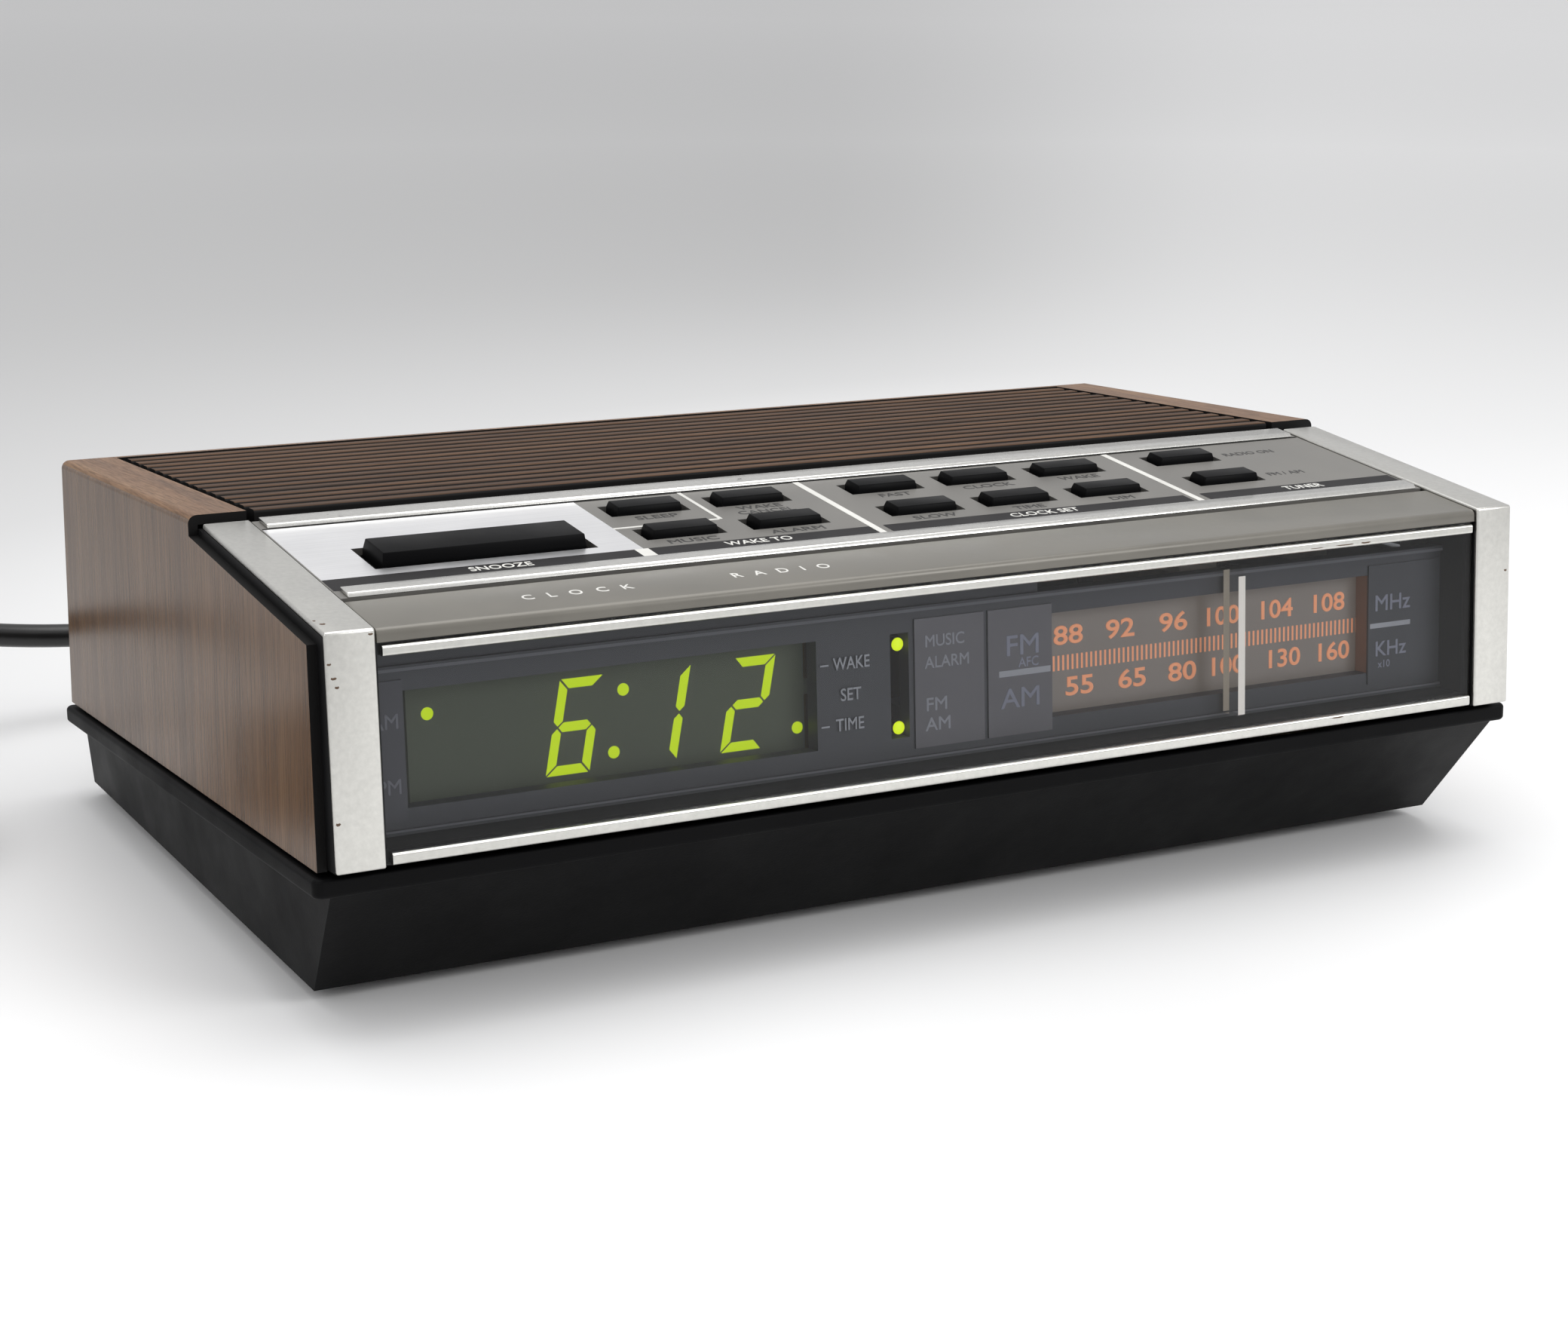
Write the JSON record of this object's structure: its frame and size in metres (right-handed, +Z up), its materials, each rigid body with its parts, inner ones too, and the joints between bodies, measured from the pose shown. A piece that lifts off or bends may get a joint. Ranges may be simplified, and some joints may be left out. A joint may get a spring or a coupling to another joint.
{
  "type": "clock radio",
  "caption": "Table clock radio with a lit clock and dial behind a front window, a sloping key panel, a ribbed speaker top, side thumbwheels and a mains lead.",
  "frame": {"origin": "middle of the radio's footprint, its feet's underside, on the surface it stands on; the lead isn't counted", "axes": "+X to the right seen from the front, +Y to the back, +Z up; the cabinet leans back 3.6 degrees on its raked base"},
  "size_m": [0.4157, 0.2438, 0.0864],
  "materials": {
    "walnut_vinyl": "semi-gloss printed walnut grain vinyl",
    "grille_brown": "satin brown moulded ribs",
    "satin_silver": "satin silver",
    "panel_grey": "brushed and grey-printed aluminium",
    "fascia_taupe": "satin taupe grey",
    "black_plastic": "satin black",
    "charcoal": "matt charcoal",
    "key_black": "satin black",
    "chrome_trim": "bright foil",
    "lens": "clear smoked window",
    "display_green": "green-grey filter",
    "dial_warm": "printed, lit from behind",
    "display_glass": "clear glass tube",
    "lamp_glass": "clear glass",
    "pointer_clear": "clear plastic",
    "board": "phenolic board",
    "parts_mixed": "plain metal cans",
    "steel": "plated steel",
    "laminations": "varnished steel laminations",
    "winding": "taped winding",
    "paper_cone": "black paper",
    "magnet": "ferrite",
    "ferrite": "ferrite rod with its coil",
    "thumbwheel": "satin black, serrated",
    "nylon": "natural nylon",
    "housing": "pale moulding",
    "string": "woven dial cord",
    "rubber": "matt black",
    "cord_vinyl": "soft vinyl sheath",
    "brass": "plain"
  },
  "bodies": {
    "chassis": {"cabinet_shell": "walnut_vinyl", "speaker_grille": "grille_brown", "left_band": "satin_silver", "right_band": "satin_silver", "front_bezel": "black_plastic", "fascia_strip": "fascia_taupe", "upper_panel_bar": "satin_silver", "lower_panel_bar": "satin_silver", "window_trims": "chrome_trim", "control_panel": "panel_grey", "window_lens": "lens", "display_mask": "charcoal", "display_filter": "display_green", "dial_scale": "dial_warm", "vfd_tube": "display_glass", "clock_board": "board", "small_lamps": "lamp_glass", "switch_board": "board", "base_tub": "charcoal", "rubber_feet": "rubber", "case_screws": "steel", "main_board": "board", "board_components": "parts_mixed", "transformer_core": "laminations", "transformer_winding": "winding", "speaker_frame": "steel", "speaker_cone": "paper_cone", "speaker_magnet": "magnet", "ferrite_antenna": "ferrite", "tuning_capacitor": "housing", "volume_control": "housing", "dial_string": "string", "pointer_rail": "steel", "rail_brackets": "steel", "strain_relief": "rubber", "power_cord": "cord_vinyl", "cord_coil": "cord_vinyl", "power_plug": "cord_vinyl", "plug_blades": "brass"},
    "tuning": {"tuning_wheel": "thumbwheel", "tuning_shaft": "steel", "dial_drum": "nylon"},
    "volume": {"volume_wheel": "thumbwheel", "volume_shaft": "steel"},
    "idler": {"dial_idler": "nylon"},
    "pointer": {"pointer_carriage": "nylon", "dial_pointer": "pointer_clear"},
    "snooze": {"snooze_bar": "key_black"},
    "sleep_key_body": {"sleep_key": "key_black"},
    "music_key_body": {"music_key": "key_black"},
    "wake_cancel_key_body": {"wake_cancel_key": "key_black"},
    "alarm_key_body": {"alarm_key": "key_black"},
    "fast_set_key_body": {"fast_set_key": "key_black"},
    "slow_set_key_body": {"slow_set_key": "key_black"},
    "clock_set_key_body": {"clock_set_key": "key_black"},
    "time_set_key_body": {"time_set_key": "key_black"},
    "wake_set_key_body": {"wake_set_key": "key_black"},
    "dim_key_body": {"dim_key": "key_black"},
    "radio_on_key_body": {"radio_on_key": "key_black"},
    "band_key_body": {"band_key": "key_black"}
  },
  "joints": [
    {"name": "tuning_turn", "type": "hinge", "parent": "chassis", "child": "tuning", "pos_m": [0.119, -0.03913, 0.05867], "axis": [0, 0.063, 0.998], "range_deg": [-130, 100]},
    {"name": "volume_turn", "type": "hinge", "parent": "chassis", "child": "volume", "pos_m": [0.119, 0.02275, 0.05476], "axis": [0, 0.063, 0.998], "range_deg": [-130, 130]},
    {"name": "pointer_slide", "type": "slide", "parent": "chassis", "child": "pointer", "axis": [1, 0, 0], "range_m": [-0.0415, 0.032]},
    {"name": "idler_spin", "type": "hinge", "parent": "chassis", "child": "idler", "pos_m": [0.006, -0.04757, 0.06771], "axis": [0, 0.063, 0.998], "range_deg": [-262, 205]},
    {"name": "snooze_press", "type": "slide", "parent": "chassis", "child": "snooze", "axis": [0, 0.0865, -0.9963], "range_m": [0, 0.0015], "stiffness_N_per_m": 400},
    {"name": "sleep_press", "type": "slide", "parent": "chassis", "child": "sleep_key_body", "axis": [0, 0.0865, -0.9963], "range_m": [0, 0.0015], "stiffness_N_per_m": 300},
    {"name": "music_press", "type": "slide", "parent": "chassis", "child": "music_key_body", "axis": [0, 0.0865, -0.9963], "range_m": [0, 0.0015], "stiffness_N_per_m": 300},
    {"name": "wake_cancel_press", "type": "slide", "parent": "chassis", "child": "wake_cancel_key_body", "axis": [0, 0.0865, -0.9963], "range_m": [0, 0.0015], "stiffness_N_per_m": 300},
    {"name": "alarm_press", "type": "slide", "parent": "chassis", "child": "alarm_key_body", "axis": [0, 0.0865, -0.9963], "range_m": [0, 0.0015], "stiffness_N_per_m": 300},
    {"name": "fast_set_press", "type": "slide", "parent": "chassis", "child": "fast_set_key_body", "axis": [0, 0.0865, -0.9963], "range_m": [0, 0.0015], "stiffness_N_per_m": 300},
    {"name": "slow_set_press", "type": "slide", "parent": "chassis", "child": "slow_set_key_body", "axis": [0, 0.0865, -0.9963], "range_m": [0, 0.0015], "stiffness_N_per_m": 300},
    {"name": "clock_set_press", "type": "slide", "parent": "chassis", "child": "clock_set_key_body", "axis": [0, 0.0865, -0.9963], "range_m": [0, 0.0015], "stiffness_N_per_m": 300},
    {"name": "time_set_press", "type": "slide", "parent": "chassis", "child": "time_set_key_body", "axis": [0, 0.0865, -0.9963], "range_m": [0, 0.0015], "stiffness_N_per_m": 300},
    {"name": "wake_set_press", "type": "slide", "parent": "chassis", "child": "wake_set_key_body", "axis": [0, 0.0865, -0.9963], "range_m": [0, 0.0015], "stiffness_N_per_m": 300},
    {"name": "dim_press", "type": "slide", "parent": "chassis", "child": "dim_key_body", "axis": [0, 0.0865, -0.9963], "range_m": [0, 0.0015], "stiffness_N_per_m": 300},
    {"name": "radio_on_press", "type": "slide", "parent": "chassis", "child": "radio_on_key_body", "axis": [0, 0.0865, -0.9963], "range_m": [0, 0.0015], "stiffness_N_per_m": 300},
    {"name": "band_press", "type": "slide", "parent": "chassis", "child": "band_key_body", "axis": [0, 0.0865, -0.9963], "range_m": [0, 0.0015], "stiffness_N_per_m": 300}
  ],
  "couplings": [
    {"joint": "pointer_slide", "follows": "tuning_turn", "m_per_rad": 0.018},
    {"joint": "idler_spin", "follows": "tuning_turn", "ratio": 2}
  ]
}
